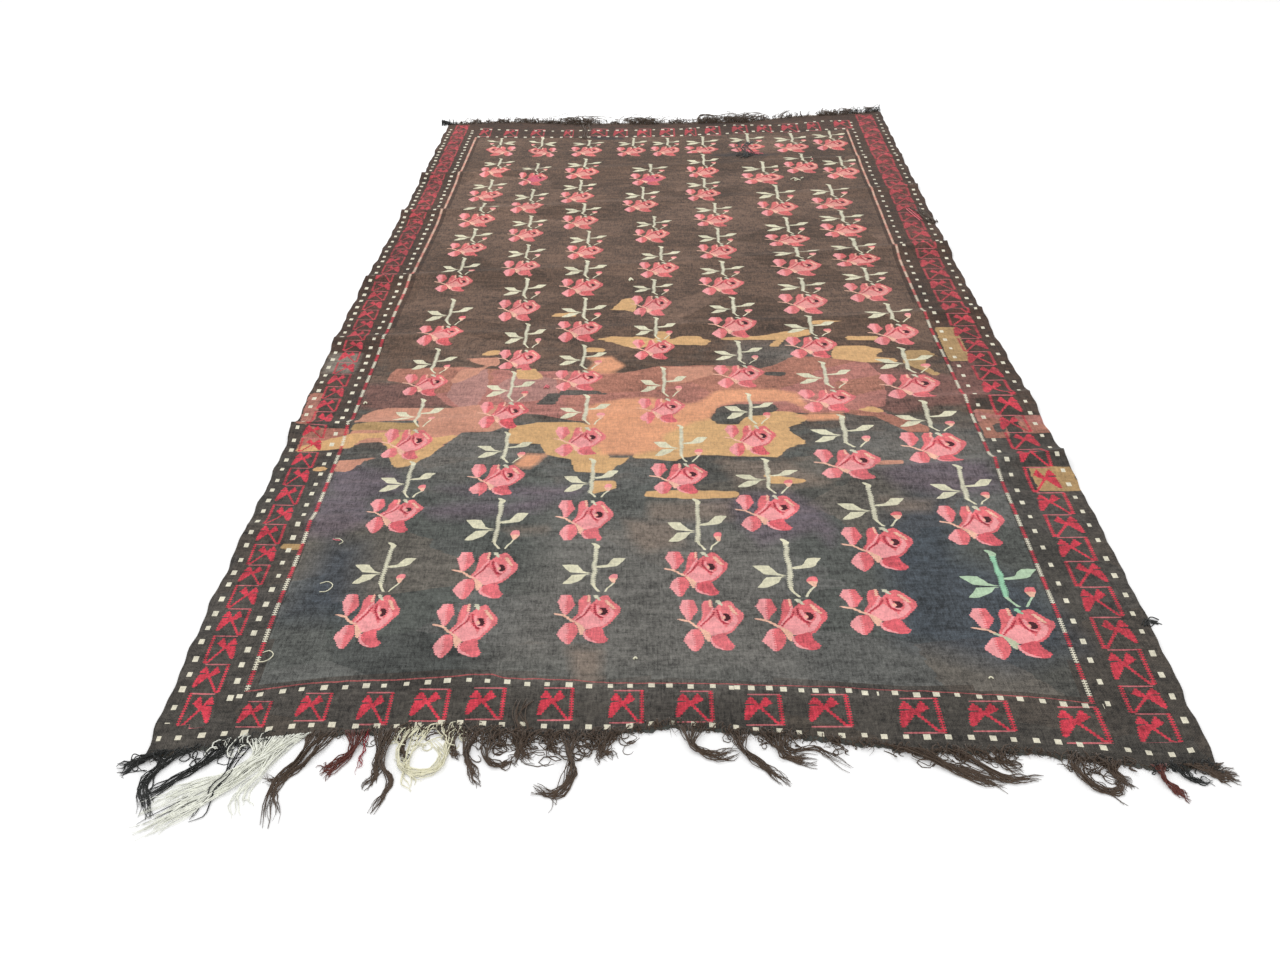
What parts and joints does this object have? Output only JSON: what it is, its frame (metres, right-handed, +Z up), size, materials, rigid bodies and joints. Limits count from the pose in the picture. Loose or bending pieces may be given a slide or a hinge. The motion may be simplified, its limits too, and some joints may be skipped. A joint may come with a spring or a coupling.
{
  "type": "turkish kilim rug",
  "caption": "Flat-woven wool floor rug with red roses on a dark ground, a boxed border and knotted fringe at both ends.",
  "frame": {"origin": "centre of the footprint, fringe included, on the floor", "axes": "+Y along the rug from the front end to the back end, +X across it to the right, +Z up"},
  "size_m": [2.0564, 3.7158, 0.0259],
  "materials": {
    "woven_wool": "matt flat weave",
    "fringe_wool": "matt spun yarn",
    "fringe_cotton": "matt spun cotton"
  },
  "bodies": {
    "root": {"kilim_cloth": "woven_wool", "fringe_front": "fringe_wool", "fringe_back": "fringe_wool"}
  },
  "joints": []
}
